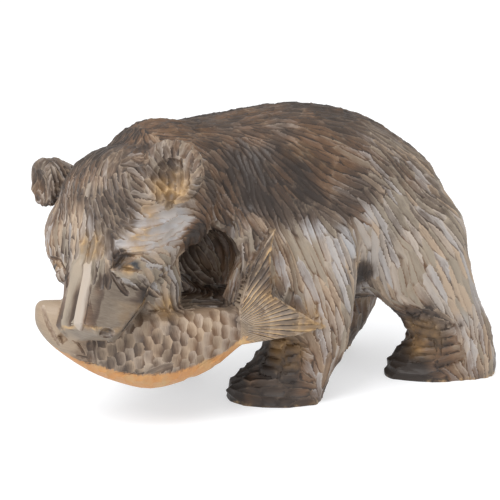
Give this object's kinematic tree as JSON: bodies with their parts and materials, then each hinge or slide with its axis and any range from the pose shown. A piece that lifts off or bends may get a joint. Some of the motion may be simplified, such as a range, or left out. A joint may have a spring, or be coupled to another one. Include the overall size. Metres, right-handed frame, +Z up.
{
  "type": "carved wooden bear",
  "caption": "Hand-carved walking bear with gouged fur that carries a salmon crosswise in its jaws, one solid piece of stained wood on four flat soles.",
  "frame": {"origin": "centre of the bounding box at the plane of the soles", "axes": "-X the way the bear walks, -Y its left side, +Z up"},
  "size_m": [0.3042, 0.1368, 0.1778],
  "materials": {
    "stained_wood": "gouge-cut, dark brown stain worn pale on the ridges, soft wax sheen"
  },
  "bodies": {
    "root": {"carved_bear": "stained_wood"}
  },
  "joints": []
}
